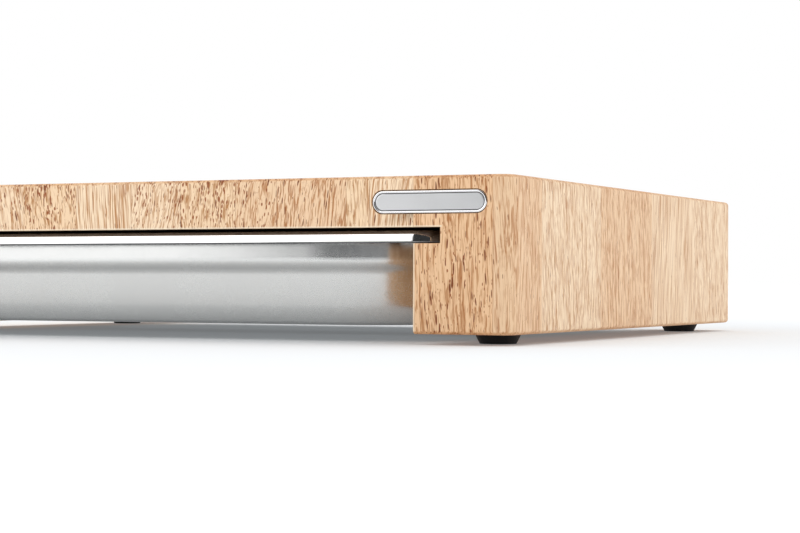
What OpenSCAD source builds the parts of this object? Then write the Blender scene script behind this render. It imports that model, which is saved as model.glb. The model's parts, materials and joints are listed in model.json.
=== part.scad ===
// Cutting board of upright-grain hardwood staves on four rubber feet, with two
// pressed-steel drawer trays that slide in grooves under the slab: one pulls out at
// the front, one at the back. A blank metal badge sits in the front, top right.
// Millimetres, +Z up, front towards -Y. The origin is on the ground, under the middle.

/* [Board] */
// Width of the board, left to right
board_w = 400; // [340:1:600]
// Depth of the board, front to back
board_d = 325; // [250:1:420]
// Height of the wood, without the feet
wood_h = 67; // [60:0.5:90]
// Thickness of the slab over the trays
slab_t = 21.8; // [15:0.1:28]
// Width of each leg wall
leg_w = 45; // [38:0.5:70]
// Radius of the four upright corners
corner_r = 8; // [3:0.5:8]
// Chamfer on the outer edges at the top and bottom
edge_ease = 1.2; // [0.4:0.1:2.5]
// Width of the outermost stave of each leg
edge_stave_w = 8.5; // [8:0.5:16]

/* [Grooves] */
// Depth of the groove that carries a tray rim, cut into the leg
groove_depth = 12.4; // [8:0.1:18]
// Height of that groove, under the slab
groove_h = 6.8; // [6.3:0.1:9]
// Depth, front to back, of the batten that stops both trays
stop_w = 8; // [5:0.5:20]
// Gap between the stop batten and a closed tray
stop_gap = 0.5; // [0.3:0.1:3]

/* [Trays] */
// Gap between the tray rim and the end of the groove
rim_side_gap = 1.4; // [0.5:0.1:3]
// Gap between the tray wall and the leg
wall_gap = 1.5; // [0.5:0.1:4]
// Gap between the tray rim and the groove's floor
rim_rest_gap = 0.2; // [0.1:0.05:0.5]
// How far a closed tray's rim sits behind the board's face
rim_setback = 3; // [0:0.5:15]
// Height of the turned-down rim
rim_h = 5.4; // [4.5:0.1:6]
// Thickness of the hemmed edge of the rim
hem_t = 1.2; // [1:0.1:2]
// Outer radius of the bend at the top of the rim
rim_bend_r = 2; // [1.6:0.1:2.5]
// Radius of the rim's corners, seen from above
rim_corner_r = 14; // [6:0.5:25]
// Thickness of the steel sheet
sheet_t = 0.8; // [0.6:0.1:1.2]
// Radius of the wall's corners, seen from above
wall_corner_r = 50; // [35:1:55]
// Height of the upright wall above the shoulder
upper_wall_h = 6.6; // [3:0.2:9]
// Height of the sloping stacking shoulder
shoulder_h = 6.7; // [3:0.1:9]
// Step inwards at the shoulder
shoulder_step = 2.5; // [1:0.1:5]
// Lean inwards of the wall below the shoulder
wall_lean = 2; // [0.5:0.1:4]
// Radius between the tray's wall and its floor
tray_bottom_r = 11; // [6:0.5:12]
// Gap under the tray, up from the legs' undersides
tray_ground_gap = 2.7; // [1:0.1:6]

/* [Badge] */
// Length of the badge
badge_w = 53; // [30:1:70]
// Height of the badge
badge_h = 9.7; // [7:0.1:13]
// Thickness of the badge
badge_t = 1.8; // [1.2:0.1:3]
// Gap round the badge in its pocket
badge_gap = 0.3; // [0.1:0.05:0.8]
// How far the badge's border sits behind the wood
badge_setback = 0.2; // [0:0.1:1]
// Width of the raised border
badge_border = 0.9; // [0.5:0.1:1.6]
// Depth of the sunk field inside the border
badge_field_depth = 0.5; // [0.2:0.1:0.9]
// Distance from the right side to the badge's middle
badge_from_right = 37.8; // [37:0.1:90]
// Distance from the cutting surface to the badge's middle
badge_from_top = 11.1; // [8:0.1:14]

/* [Feet] */
// Height of a foot
foot_h = 4.5; // [4:0.1:12]
// Diameter of a foot against the wood
foot_d = 20; // [16:0.5:28]
// Diameter of a foot on the ground
foot_base_d = 15.5; // [14:0.5:22]
// Distance from the side to a foot's middle
foot_from_side = 20; // [19:0.5:26]
// Distance from the front or back to a foot's middle
foot_from_end = 33.5; // [20:0.5:80]
// Diameter of the pocket for the screw head
foot_pocket_d = 10.4; // [9:0.1:12]
// Depth of that pocket
foot_pocket_depth = 2.8; // [2.5:0.1:3.2]
// Diameter of the steel washer in the pocket
washer_d = 9.6; // [8:0.1:11]
// Thickness of the washer
washer_t = 0.6; // [0.4:0.1:1]
// Diameter of the screw head
screw_head_d = 7; // [6:0.1:8]
// Height of the screw head
screw_head_h = 1.6; // [1.2:0.1:1.9]
// Diameter of the screw
screw_d = 3.5; // [3:0.1:5]
// Length of the screw in the wood
screw_grip = 12; // [8:0.5:20]
// Clearance round the screw
screw_clear = 0.05; // [0.02:0.01:0.2]

/* [Hidden] */
// Seams between the slab's staves, as shares of the tunnel's width from its left side
top_seams = [
    0, 0.052, 0.107, 0.194, 0.300, 0.352, 0.448, 0.545, 0.629, 0.721, 0.787, 0.897, 0.9335, 1
];
$fn = 96;

// Heights, from the ground up
board_z = foot_h;
board_top = board_z + wood_h;
slab_under = board_top - slab_t;
groove_floor = slab_under - groove_h;

// The tunnel between the legs, and the width from groove end to groove end
tunnel_w = board_w - 2 * leg_w;
groove_span = tunnel_w + 2 * groove_depth;
past = 1;

// Tray sizes follow the grooves, the tunnel and the stop
rim_w = groove_span - 2 * rim_side_gap;
tray_d = board_d / 2 - rim_setback - stop_w / 2 - stop_gap;
body_w = tunnel_w - 2 * wall_gap;
overhang = (rim_w - body_w) / 2;
body_d = tray_d - 2 * overhang;
rim_under = groove_floor + rim_rest_gap;
rim_top = rim_under + rim_h;
tray_floor = board_z + tray_ground_gap;
shoulder_top = rim_under - upper_wall_h;
shoulder_under = shoulder_top - shoulder_h;
tray_y = stop_w / 2 + stop_gap + tray_d / 2;

// Widest radius that the tray's plan leaves room for
wall_r = min(wall_corner_r, body_d / 2 - past);
lower_inset = shoulder_step + wall_lean;
floor_inset = lower_inset + tray_bottom_r;

// The hem closes the bottom of the rim, with a fine groove above it
hem_h = 1;
hem_groove = 0.45;
hem_groove_h = 0.8;

wood_pale = [0.90, 0.75, 0.58];
wood_tan = [0.87, 0.70, 0.52];
wood_rose = [0.85, 0.66, 0.50];
steel = [0.78, 0.79, 0.80];
plate_metal = [0.86, 0.87, 0.89];
rubber = [0.07, 0.07, 0.08];

// Wood -----------------------------------------------------------------

// Section through the block: a rectangle with its outer corners chamfered
module eased_section(width) {
    e = edge_ease;
    w = width / 2;
    polygon([
        [-w + e, board_z], [w - e, board_z], [w, board_z + e], [w, board_top - e],
        [w - e, board_top], [-w + e, board_top], [-w, board_top - e], [-w, board_z + e]
    ]);
}

// One upright corner of the block, with the same chamfers, as a quarter turn
module eased_corner() {
    e = edge_ease;
    rotate_extrude(angle = 90)
        polygon([
            [0, board_z], [corner_r - e, board_z], [corner_r, board_z + e],
            [corner_r, board_top - e], [corner_r - e, board_top], [0, board_top]
        ]);
}

// The whole block before the tunnel is cut
module board_blank() {
    flat_w = board_w - 2 * corner_r;
    flat_d = board_d - 2 * corner_r;
    translate([-flat_w / 2, 0, 0]) rotate([90, 0, 90]) linear_extrude(flat_w) eased_section(board_d);
    translate([0, flat_d / 2, 0]) rotate([90, 0, 0]) linear_extrude(flat_d) eased_section(board_w);
    for (quarter = [0:3]) {
        sx = (quarter == 0 || quarter == 3) ? 1 : -1;
        sy = quarter < 2 ? 1 : -1;
        translate([sx * flat_w / 2, sy * flat_d / 2, 0]) rotate([0, 0, 90 * quarter]) eased_corner();
    }
}

// The open tunnel and the grooves at its top, as one cutter
module tunnel() {
    length = board_d + 2 * past;
    translate([-tunnel_w / 2, -length / 2, board_z - past])
        cube([tunnel_w, length, slab_under - board_z + past]);
    translate([-groove_span / 2, -length / 2, groove_floor]) cube([groove_span, length, groove_h]);
}

// Outline of a bar with two half-round ends
module pill(length, height) {
    square([length - height, height], center = true);
    for (side = [-1, 1]) translate([side * (length - height) / 2, 0]) circle(d = height);
}

// Puts a flat shape, drawn in X and Z, into the board's front face
module on_front_face(depth) {
    translate([board_w / 2 - badge_from_right, -board_d / 2 + depth, board_top - badge_from_top])
        rotate([90, 0, 0])
            children();
}

module badge_pocket() {
    pocket_depth = badge_setback + badge_t;
    on_front_face(pocket_depth)
        linear_extrude(pocket_depth + past) pill(badge_w + 2 * badge_gap, badge_h + 2 * badge_gap);
}

// Repeats a shape at the four feet
module at_each_foot() {
    for (side = [-1, 1], end = [-1, 1]) at_foot(side, end) children();
}

module at_foot(side, end) {
    translate([side * (board_w / 2 - foot_from_side), end * (board_d / 2 - foot_from_end), 0]) children();
}

module pilot_holes() {
    at_each_foot()
        translate([0, 0, board_z - past])
            cylinder(d = screw_d + 2 * screw_clear, h = screw_grip + 2 * past);
}

// One stave of the glued block: all of the block between two planes across X
module stave(x_from, x_to) {
    difference() {
        intersection() {
            board_blank();
            translate([x_from, -board_d / 2 - past, board_z - past])
                cube([x_to - x_from, board_d + 2 * past, wood_h + 2 * past]);
        }
        tunnel();
        badge_pocket();
        pilot_holes();
    }
}

// Stave of the slab, counted from the left
module top_stave(number) {
    tone = [wood_tan, wood_pale, wood_rose];
    x_from = tunnel_w * (top_seams[number - 1] - 0.5);
    x_to = tunnel_w * (top_seams[number] - 0.5);
    color(tone[number % 3]) stave(x_from, x_to);
}

module leg_inner(side) {
    near = tunnel_w / 2;
    far = board_w / 2 - edge_stave_w;
    color(wood_tan) stave(side > 0 ? near : -far, side > 0 ? far : -near);
}

module leg_outer(side) {
    near = board_w / 2 - edge_stave_w;
    far = board_w / 2 + past;
    color(wood_pale) stave(side > 0 ? near : -far, side > 0 ? far : -near);
}

// Batten glued under the slab across the middle: both trays close against it
module stop_batten() {
    color(wood_rose)
        translate([-groove_span / 2, -stop_w / 2, groove_floor])
            cube([groove_span, stop_w, groove_h]);
}

// Trays ----------------------------------------------------------------

module rounded_rect(w, d, r) {
    square([w - 2 * r, d], center = true);
    square([w, d - 2 * r], center = true);
    for (sx = [-1, 1], sy = [-1, 1]) translate([sx * (w / 2 - r), sy * (d / 2 - r)]) circle(r = r);
}

// Carries a section of [inset from the outline, height] once round a rounded rectangle
module sweep_round(w, d, r, section) {
    for (side = [-1, 1]) {
        translate([-(w / 2 - r), 0, 0]) rotate([90, 0, 90]) linear_extrude(w - 2 * r)
            polygon([for (p = section) [side * (d / 2 - p[0]), p[1]]]);
        translate([0, d / 2 - r, 0]) rotate([90, 0, 0]) linear_extrude(d - 2 * r)
            polygon([for (p = section) [side * (w / 2 - p[0]), p[1]]]);
    }
    for (quarter = [0:3]) {
        sx = (quarter == 0 || quarter == 3) ? 1 : -1;
        sy = quarter < 2 ? 1 : -1;
        translate([sx * (w / 2 - r), sy * (d / 2 - r), 0]) rotate([0, 0, 90 * quarter])
            rotate_extrude(angle = 90) polygon([for (p = section) [r - p[0], p[1]]]);
    }
}

// The shoulder starts upright, like the wall over it, and ends in a crisp edge
function shoulder_point(u, skin) =
    [skin + shoulder_step * pow(u, 1.6), shoulder_top - shoulder_h * u];

// Quarter bend between wall and floor, on the sheet's outer or inner face
function bottom_point(angle, skin) = [
    floor_inset - (tray_bottom_r - skin) * cos(angle),
    tray_floor + tray_bottom_r - (tray_bottom_r - skin) * sin(angle)
];

// Section of the wall: down the outside, and back up the inside
function wall_section() = concat(
    [[0, rim_top - sheet_t]],
    [for (i = [0:5]) shoulder_point(i / 5, 0)],
    [for (a = [0:15:90]) bottom_point(a, 0)],
    [for (a = [90:-15:0]) bottom_point(a, sheet_t)],
    [for (i = [5:-1:0]) shoulder_point(i / 5, sheet_t)],
    [[sheet_t, rim_top - sheet_t]]
);

// Section of the rim: a bend, an upright face, a fine groove and the folded hem
function rim_section() = concat(
    [for (a = [90:-15:0]) [rim_bend_r * (1 - cos(a)), rim_top - rim_bend_r * (1 - sin(a))]],
    [
        [0, rim_under + hem_h + hem_groove_h],
        [hem_groove, rim_under + hem_h + hem_groove_h - 0.3],
        [hem_groove, rim_under + hem_h],
        [0, rim_under + hem_h - 0.3],
        [0, rim_under + 0.3],
        [0.3, rim_under],
        [hem_t, rim_under],
        [hem_t, rim_top - rim_bend_r],
        [rim_bend_r, rim_top - sheet_t]
    ]
);

// Pressed tray: floor and wall from one sheet, and a flange that ends in the rim
module tray() {
    translate([0, 0, tray_floor])
        linear_extrude(sheet_t)
            rounded_rect(body_w - 2 * floor_inset, body_d - 2 * floor_inset, wall_r - floor_inset);
    sweep_round(body_w, body_d, wall_r, wall_section());
    translate([0, 0, rim_top - sheet_t])
        linear_extrude(sheet_t)
            difference() {
                rounded_rect(rim_w - 2 * rim_bend_r, tray_d - 2 * rim_bend_r, rim_corner_r - rim_bend_r);
                rounded_rect(body_w - 2 * sheet_t, body_d - 2 * sheet_t, wall_r - sheet_t);
            }
    sweep_round(rim_w, tray_d, rim_corner_r, rim_section());
}

module front_tray() {
    color(steel) translate([0, -tray_y, 0]) tray();
}

module rear_tray() {
    color(steel) translate([0, tray_y, 0]) tray();
}

// Badge ----------------------------------------------------------------

// Plate with a raised border, a step line inside it and a plain sunk field
module badge() {
    step = badge_border / 2;
    color(plate_metal)
        on_front_face(badge_setback + badge_t)
            difference() {
                linear_extrude(badge_t) pill(badge_w, badge_h);
                translate([0, 0, badge_t - badge_field_depth / 2])
                    linear_extrude(past)
                        pill(badge_w - 2 * badge_border, badge_h - 2 * badge_border);
                translate([0, 0, badge_t - badge_field_depth])
                    linear_extrude(past)
                        pill(badge_w - 2 * badge_border - 2 * step, badge_h - 2 * badge_border - 2 * step);
            }
}

// Feet -----------------------------------------------------------------

// Tapered rubber foot with a screw hole and a pocket for the screw head
module foot() {
    hole_r = screw_d / 2 + screw_clear;
    top_r = foot_d / 2;
    base_r = foot_base_d / 2;
    flank = top_r - base_r;
    color(rubber)
        rotate_extrude()
            polygon([
                [hole_r, foot_h], [top_r, foot_h], [top_r, foot_h * 0.75],
                [top_r - flank * 0.25, foot_h * 0.42], [top_r - flank * 0.6, foot_h * 0.16],
                [base_r, 0], [foot_pocket_d / 2, 0], [foot_pocket_d / 2, foot_pocket_depth],
                [hole_r, foot_pocket_depth]
            ]);
}

module foot_washers() {
    color(steel)
        at_each_foot()
            translate([0, 0, foot_pocket_depth - washer_t])
                difference() {
                    cylinder(d = washer_d, h = washer_t);
                    translate([0, 0, -past]) cylinder(d = screw_d + 2 * screw_clear, h = washer_t + 2 * past);
                }
}

// Pan-head wood screw with a cross recess, driven up through the foot
module foot_screws() {
    head_top = foot_pocket_depth - washer_t;
    tip = 3;
    color(steel)
        at_each_foot() {
            difference() {
                translate([0, 0, head_top - screw_head_h]) cylinder(d = screw_head_d, h = screw_head_h);
                for (turn = [0, 90])
                    rotate([0, 0, turn])
                        translate([-screw_head_d * 0.3, -0.4, head_top - screw_head_h - past])
                            cube([screw_head_d * 0.6, 0.8, past + screw_head_h / 2]);
            }
            translate([0, 0, head_top]) cylinder(d = screw_d, h = foot_h + screw_grip - tip - head_top);
            translate([0, 0, foot_h + screw_grip - tip]) cylinder(d1 = screw_d, d2 = 0.4, h = tip);
        }
}

top_stave(1);  // top_stave_1
top_stave(2);  // top_stave_2
top_stave(3);  // top_stave_3
top_stave(4);  // top_stave_4
top_stave(5);  // top_stave_5
top_stave(6);  // top_stave_6
top_stave(7);  // top_stave_7
top_stave(8);  // top_stave_8
top_stave(9);  // top_stave_9
top_stave(10);  // top_stave_10
top_stave(11);  // top_stave_11
top_stave(12);  // top_stave_12
top_stave(13);  // top_stave_13
leg_outer(-1);  // left_leg_outer
leg_inner(-1);  // left_leg_inner
leg_inner(1);  // right_leg_inner
leg_outer(1);  // right_leg_outer
stop_batten();
front_tray();
rear_tray();
badge();
at_foot(-1, -1) foot();  // foot_front_left
at_foot(1, -1) foot();  // foot_front_right
at_foot(-1, 1) foot();  // foot_rear_left
at_foot(1, 1) foot();  // foot_rear_right
foot_washers();
foot_screws();
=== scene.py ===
import json
import math
import random

import bmesh
import bpy
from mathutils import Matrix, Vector


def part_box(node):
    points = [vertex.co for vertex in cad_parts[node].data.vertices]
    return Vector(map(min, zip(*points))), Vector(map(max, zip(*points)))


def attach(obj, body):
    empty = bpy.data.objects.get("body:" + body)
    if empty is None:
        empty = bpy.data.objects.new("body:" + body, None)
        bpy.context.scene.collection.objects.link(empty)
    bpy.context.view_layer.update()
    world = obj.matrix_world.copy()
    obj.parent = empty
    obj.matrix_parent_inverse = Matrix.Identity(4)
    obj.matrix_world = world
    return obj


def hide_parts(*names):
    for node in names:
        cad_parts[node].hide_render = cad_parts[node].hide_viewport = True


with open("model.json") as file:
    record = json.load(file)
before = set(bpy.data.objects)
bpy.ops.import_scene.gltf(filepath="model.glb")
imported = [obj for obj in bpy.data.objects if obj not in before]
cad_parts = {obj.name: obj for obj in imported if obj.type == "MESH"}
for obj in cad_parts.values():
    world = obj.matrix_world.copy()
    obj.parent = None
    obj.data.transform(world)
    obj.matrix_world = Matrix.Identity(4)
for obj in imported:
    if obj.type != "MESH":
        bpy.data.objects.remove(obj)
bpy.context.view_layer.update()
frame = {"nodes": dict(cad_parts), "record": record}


# The block ------------------------------------------------------------
# Short upright sticks of pale hardwood are glued end to end into staves, and the staves
# side by side into one thick block, sanded, eased at the edges and oiled. All the grain
# stands upright, so the cutting surface is end grain.

# Places are in metres, from the ground under the middle of the board
MM = 0.001
IN_MM = (1000, 1000, 1000)
HALF_W, HALF_D = 0.200, 0.1625
LEG_FACE, GROOVE_BACK, EDGE_SEAM = 0.155, 0.1674, 0.1915
GROOVE_FLOOR, SLAB_UNDER = 0.0429, 0.0497
BADGE_MIDDLE = Vector((0.1622, -HALF_D, 0.0604))
FOOT_X, FOOT_Y = 0.180, 0.129


def feed(tree, node, sockets):
    """Sets a node's inputs, by name or number. Another node's output is linked."""
    for key, value in sockets.items():
        if isinstance(value, bpy.types.NodeSocket):
            tree.links.new(value, node.inputs[key])
        else:
            node.inputs[key].default_value = value


def put(tree, kind, sockets=None, **settings):
    """Adds a node with its settings and inputs."""
    made = tree.nodes.new(kind)
    for name, value in settings.items():
        setattr(made, name, value)
    feed(tree, made, sockets or {})
    return made


def math_of(tree, operation, *values):
    """One sum on numbers in a node tree."""
    return put(tree, "ShaderNodeMath", dict(enumerate(values)), operation=operation).outputs[0]


def vector_of(tree, operation, *values):
    """One sum on vectors in a node tree."""
    return put(tree, "ShaderNodeVectorMath", dict(enumerate(values)), operation=operation).outputs[0]


def scaled(tree, vector, factor):
    """A vector made longer or shorter."""
    return put(tree, "ShaderNodeVectorMath", {0: vector, "Scale": factor}, operation="SCALE").outputs[0]


def length_of(tree, vector):
    """A vector's length."""
    return put(tree, "ShaderNodeVectorMath", {0: vector}, operation="LENGTH").outputs["Value"]


def turned(tree, vector, turn):
    """A vector turned about the three axes."""
    return put(
        tree, "ShaderNodeVectorRotate", {"Vector": vector, "Rotation": turn}, rotation_type="EULER_XYZ"
    ).outputs[0]


def parts_of(tree, vector):
    """A vector's X, Y and Z."""
    return put(tree, "ShaderNodeSeparateXYZ", {0: vector}).outputs


def xyz_of(tree, x=0.0, y=0.0, z=0.0):
    """A vector from three numbers."""
    return put(tree, "ShaderNodeCombineXYZ", {0: x, 1: y, 2: z}).outputs[0]


def product_of(tree, first, *others):
    """Numbers multiplied together."""
    for other in others:
        first = math_of(tree, "MULTIPLY", first, other)
    return first


def sum_of(tree, start, *parts):
    """A number with each part added by its weight."""
    for part, weight in parts:
        start = math_of(tree, "MULTIPLY_ADD", part, weight, start)
    return start


def ramp_of(tree, value, start, end, low=0.0, high=1.0):
    """Eases from low to high as value goes from start to end."""
    return put(
        tree,
        "ShaderNodeMapRange",
        {"Value": value, "From Min": start, "From Max": end, "To Min": low, "To Max": high},
        interpolation_type="SMOOTHSTEP",
    ).outputs[0]


def near_edge(tree, value, edge, start, end):
    """Eases from 0 to 1 as value goes from start to end, in mm past an edge."""
    return ramp_of(tree, value, edge + start * MM, edge + end * MM)


def between(tree, share, first, second):
    """Goes from the first number to the second."""
    return put(tree, "ShaderNodeMix", {0: share, 2: first, 3: second}, data_type="FLOAT").outputs[0]


def tint_of(tree, share, first, second, blend="MIX"):
    """Goes from the first colour to the second."""
    return put(
        tree, "ShaderNodeMix", {0: share, 6: first, 7: second}, data_type="RGBA", blend_type=blend
    ).outputs[2]


def noise_of(tree, spot, scale, detail=2.0, roughness=0.5, output="Fac"):
    """Soft noise with this many waves to the unit."""
    return put(tree, "ShaderNodeTexNoise", {
        "Vector": spot, "Scale": scale, "Detail": detail, "Roughness": roughness
    }).outputs[output]


def drawn_noise(tree, spot, stretch, detail=2.0, roughness=0.5, output="Fac"):
    """Noise drawn out: stretch is how many waves each axis has to the unit."""
    return noise_of(tree, vector_of(tree, "MULTIPLY", spot, stretch), 1.0, detail, roughness, output)


def mark_on(tree, name, output="Fac"):
    """The value that a mesh carries under this name."""
    return put(tree, "ShaderNodeAttribute", attribute_name=name).outputs[output]


def uneven(tree, height, strength, depth):
    """The normal of a surface with fine unevenness, depth mm deep."""
    return put(tree, "ShaderNodeBump", {
        "Strength": strength, "Distance": depth * MM, "Height": height
    }).outputs["Normal"]


def place_on_piece(tree):
    """Where a point lies on its piece, in metres."""
    return put(tree, "ShaderNodeTexCoord").outputs["Object"]


def mm_on_piece(tree):
    """Where a point lies on its piece, in mm."""
    return vector_of(tree, "MULTIPLY", place_on_piece(tree), IN_MM)


def new_finish(name):
    """A material with a bare Principled shader, its tree and the shader's node."""
    finish = bpy.data.materials.new(name)
    finish.use_nodes = True
    tree = finish.node_tree
    return finish, tree, tree.nodes["Principled BSDF"]


def fibre_sway(tree, grain, stretch, reach):
    """How far the fibres stray from straight, up to reach mm each way."""
    sway = drawn_noise(tree, grain, stretch, output="Color")
    return vector_of(tree, "MULTIPLY_ADD", sway, (2 * reach, 2 * reach, 0), (-reach, -reach, 0))


def growth_rings(tree, from_heart):
    """Pale and dark bands round the trunk's heart, and the dark late wood that ends each ring."""
    trunk_lean = (0.05, 0.04, 0.0)
    rings_to_mm, unevenness = 0.14, 1.3
    distance = length_of(tree, vector_of(tree, "MULTIPLY", turned(tree, from_heart, trunk_lean), (1, 1, 0)))
    band = put(
        tree,
        "ShaderNodeTexNoise",
        {"W": distance, "Scale": 0.40, "Detail": 4.0, "Roughness": 0.7},
        noise_dimensions="1D",
    ).outputs["Fac"]
    ring = math_of(tree, "FRACT", sum_of(
        tree, math_of(tree, "MULTIPLY", band, unevenness), (distance, rings_to_mm)
    ))
    return ramp_of(tree, band, 0.30, 0.70), ramp_of(tree, ring, 0.70, 0.97)


def open_vessels(tree, wavy, cell_size, radius, share):
    """Thin tubes sawn open, one to a cell of this many mm, wider where share is higher."""
    cell = vector_of(tree, "MULTIPLY", wavy, tuple(1 / s for s in cell_size))
    near = put(tree, "ShaderNodeTexVoronoi", {"Vector": cell, "Scale": 1.0}).outputs["Distance"]
    reach = math_of(tree, "MAXIMUM", math_of(tree, "MULTIPLY", share, radius), 0.001)
    return ramp_of(tree, math_of(tree, "DIVIDE", near, reach), 1.0, 0.70)


def groove_shade_share(tree, across, along, height):
    """Painted shade: 1 inside the two grooves and 0 elsewhere. across and along are sizes without sign."""
    return product_of(
        tree,
        near_edge(tree, across, GROOVE_BACK, 0.6, 0.1),
        near_edge(tree, along, HALF_D, -0.1, -1.3),
        near_edge(tree, height, GROOVE_FLOOR, -0.2, -0.05),
        near_edge(tree, height, SLAB_UNDER, 0.2, 0.05),
    )


def arris_highlight_share(tree, across, along, height):
    """Painted highlight: 1 on the front and back edges of the tray opening, over the trays and beside them.
    """
    over = product_of(
        tree,
        near_edge(tree, height, SLAB_UNDER, -0.1, 0.0),
        near_edge(tree, height, SLAB_UNDER, 0.9, 0.5),
        near_edge(tree, across, GROOVE_BACK, 1.1, 0.6),
    )
    beside = product_of(
        tree,
        near_edge(tree, across, LEG_FACE, 0.9, 0.5),
        near_edge(tree, height, GROOVE_FLOOR, 0.6, -0.4),
    )
    on_face = near_edge(tree, along, HALF_D, -0.5, -0.2)
    return math_of(tree, "MULTIPLY", on_face, math_of(tree, "MAXIMUM", over, beside))


ROSE_TINT = (0.86, 0.70, 0.57, 1)
OIL_TINT = (0.74, 0.56, 0.40, 1)
# Painted shade for the inside of the grooves
PAINTED_GROOVE_SHADE = (0.035, 0.020, 0.012, 1)
# Painted highlight for the edges of the tray opening
PAINTED_ARRIS_HIGHLIGHT = (1.0, 0.88, 0.68, 1)


def oiled_hardwood(name, pale, tan, grain_turn=(0.0, 0.0, 0.0)):
    """Growth rings round each stick's heart, long fibres, and short brown vessels."""
    finish, tree, shader = new_finish(name)
    place = place_on_piece(tree)
    tone, pored, bold = (mark_on(tree, "stick_" + mark) for mark in ("tone", "pores", "bold"))
    shift, heart, lean = (mark_on(tree, "stick_" + mark, "Vector") for mark in ("shift", "heart", "lean"))
    straight = math_of(tree, "SUBTRACT", 1.0, pored)

    # A stick's grain leans a little, and its fibres don't run quite straight
    in_mm = vector_of(tree, "MULTIPLY", turned(tree, place, grain_turn), IN_MM)
    upright = vector_of(tree, "ADD", in_mm, scaled(tree, lean, parts_of(tree, in_mm)["Z"]))
    grain = vector_of(tree, "ADD", upright, shift)
    slow = fibre_sway(tree, grain, (0.06, 0.06, 0.02), 4.0)
    quick = fibre_sway(tree, grain, (0.35, 0.35, 0.12), 0.9)
    bent = scaled(tree, vector_of(tree, "ADD", slow, quick), sum_of(tree, 0.20, (pored, 0.95)))
    wavy = vector_of(tree, "ADD", grain, bent)
    from_heart = vector_of(tree, "SUBTRACT", vector_of(tree, "ADD", upright, bent), heart)
    band, late_wood = growth_rings(tree, from_heart)

    # Light and dark fibres, sharp from side to side and long up and down
    up_waves = sum_of(tree, 0.012, (pored, 0.125))
    fibre = drawn_noise(tree, wavy, xyz_of(tree, 1.5, 1.5, up_waves), 1.5)
    fibre = ramp_of(tree, fibre, 0.38, 0.62)
    dark_fibre = drawn_noise(tree, wavy, xyz_of(tree, 2.3, 2.3, up_waves), 1.0)
    dark_fibre = ramp_of(tree, dark_fibre, 0.55, 0.68)
    streak = ramp_of(tree, drawn_noise(tree, grain, (0.42, 0.42, 0.013), 3.0, 0.62), 0.32, 0.68)
    streak = math_of(tree, "SUBTRACT", streak, 0.5)
    streaky = sum_of(tree, 0.25, (straight, 0.50))
    body = sum_of(
        tree, 0.0, (fibre, 0.78), (streak, streaky), (band, 0.26), (late_wood, 0.18), (dark_fibre, 0.42)
    )
    # Sawn across, the rings show as arcs and the fibres only as fine dots
    facing = parts_of(tree, put(tree, "ShaderNodeNewGeometry").outputs["Normal"])["Z"]
    end_grain = ramp_of(tree, math_of(tree, "ABSOLUTE", facing), 0.25, 0.65)
    arcs = sum_of(tree, 0.22, (fibre, 0.26), (band, 0.34), (late_wood, 0.42))
    body = between(tree, end_grain, body, arcs)
    usual, usual_tan = 0.64, 0.265
    spread = sum_of(tree, 0.32, (bold, 1.00))
    body = sum_of(tree, usual_tan, (math_of(tree, "SUBTRACT", body, usual), spread))
    colour = tint_of(tree, body, pale, tan)
    colour = tint_of(tree, tone, colour, tint_of(tree, 1.0, colour, ROSE_TINT, "MULTIPLY"))

    # Vessels: a stick sawn flat shows strokes and short ticks, and one sawn towards its heart
    # long lines. Each kind has its cell in mm, radius, what brings it out, depth and brown
    crowded = ramp_of(tree, drawn_noise(tree, grain, (0.15, 0.15, 0.035)), 0.34, 0.66, 0.50, 1.15)
    for_lines = sum_of(tree, 0.25, (straight, 0.90))
    for_strokes = ramp_of(tree, pored, 0.0, 0.35, 0.45, 1.05)
    for_ticks = sum_of(tree, 0.10, (pored, 1.05))
    hollow = 0.0
    for cell_size, radius, brought_out, depth, brown in (
        ((1.00, 1.00, 48.0), 0.32, for_lines, 0.66, (0.42, 0.155, 0.052, 1)),
        ((1.30, 1.30, 10.0), 0.26, for_strokes, 1.00, (0.22, 0.058, 0.012, 1)),
        ((1.05, 1.05, 3.5), 0.38, for_ticks, 0.95, (0.33, 0.095, 0.024, 1)),
    ):
        tubes = open_vessels(tree, wavy, cell_size, radius, math_of(tree, "MULTIPLY", crowded, brought_out))
        strength = sum_of(tree, 0.70 * depth, (bold, 0.35 * depth))
        colour = tint_of(tree, math_of(tree, "MULTIPLY", tubes, strength), colour, brown)
        hollow = math_of(tree, "MAXIMUM", hollow, tubes)

    # End grain drinks more oil. The inside of the grooves is painted near black as painted shade, and
    # the eased edges of the tray opening are painted paler as a painted highlight
    oiled = tint_of(tree, 1.0, colour, OIL_TINT, "MULTIPLY")
    colour = tint_of(tree, math_of(tree, "MULTIPLY", end_grain, 0.70), colour, oiled)
    x, y, z = parts_of(tree, place)
    across, along = math_of(tree, "ABSOLUTE", x), math_of(tree, "ABSOLUTE", y)
    groove_shade = math_of(tree, "MULTIPLY", groove_shade_share(tree, across, along, z), 0.86)
    colour = tint_of(tree, groove_shade, colour, PAINTED_GROOVE_SHADE)
    arris_highlight = math_of(tree, "MULTIPLY", arris_highlight_share(tree, across, along, z), 0.60)
    colour = tint_of(tree, arris_highlight, colour, PAINTED_ARRIS_HIGHLIGHT)

    height = sum_of(tree, math_of(tree, "MULTIPLY", fibre, 0.25), (hollow, -0.8))
    feed(tree, shader, {
        "Base Color": colour,
        "Roughness": ramp_of(tree, fibre, 0.0, 1.0, 0.44, 0.60),
        "Normal": uneven(tree, height, 0.5, 0.10),
        "Specular IOR Level": 0.35,
    })
    return finish


wood = {
    "wood_pale": oiled_hardwood("oiled_hardwood_pale", (1.0, 0.80, 0.57, 1), (0.54, 0.26, 0.105, 1)),
    "wood_tan": oiled_hardwood("oiled_hardwood_tan", (0.98, 0.745, 0.50, 1), (0.50, 0.235, 0.085, 1)),
    "wood_rose": oiled_hardwood("oiled_hardwood_rose", (0.99, 0.77, 0.54, 1), (0.52, 0.245, 0.095, 1)),
}


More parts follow.
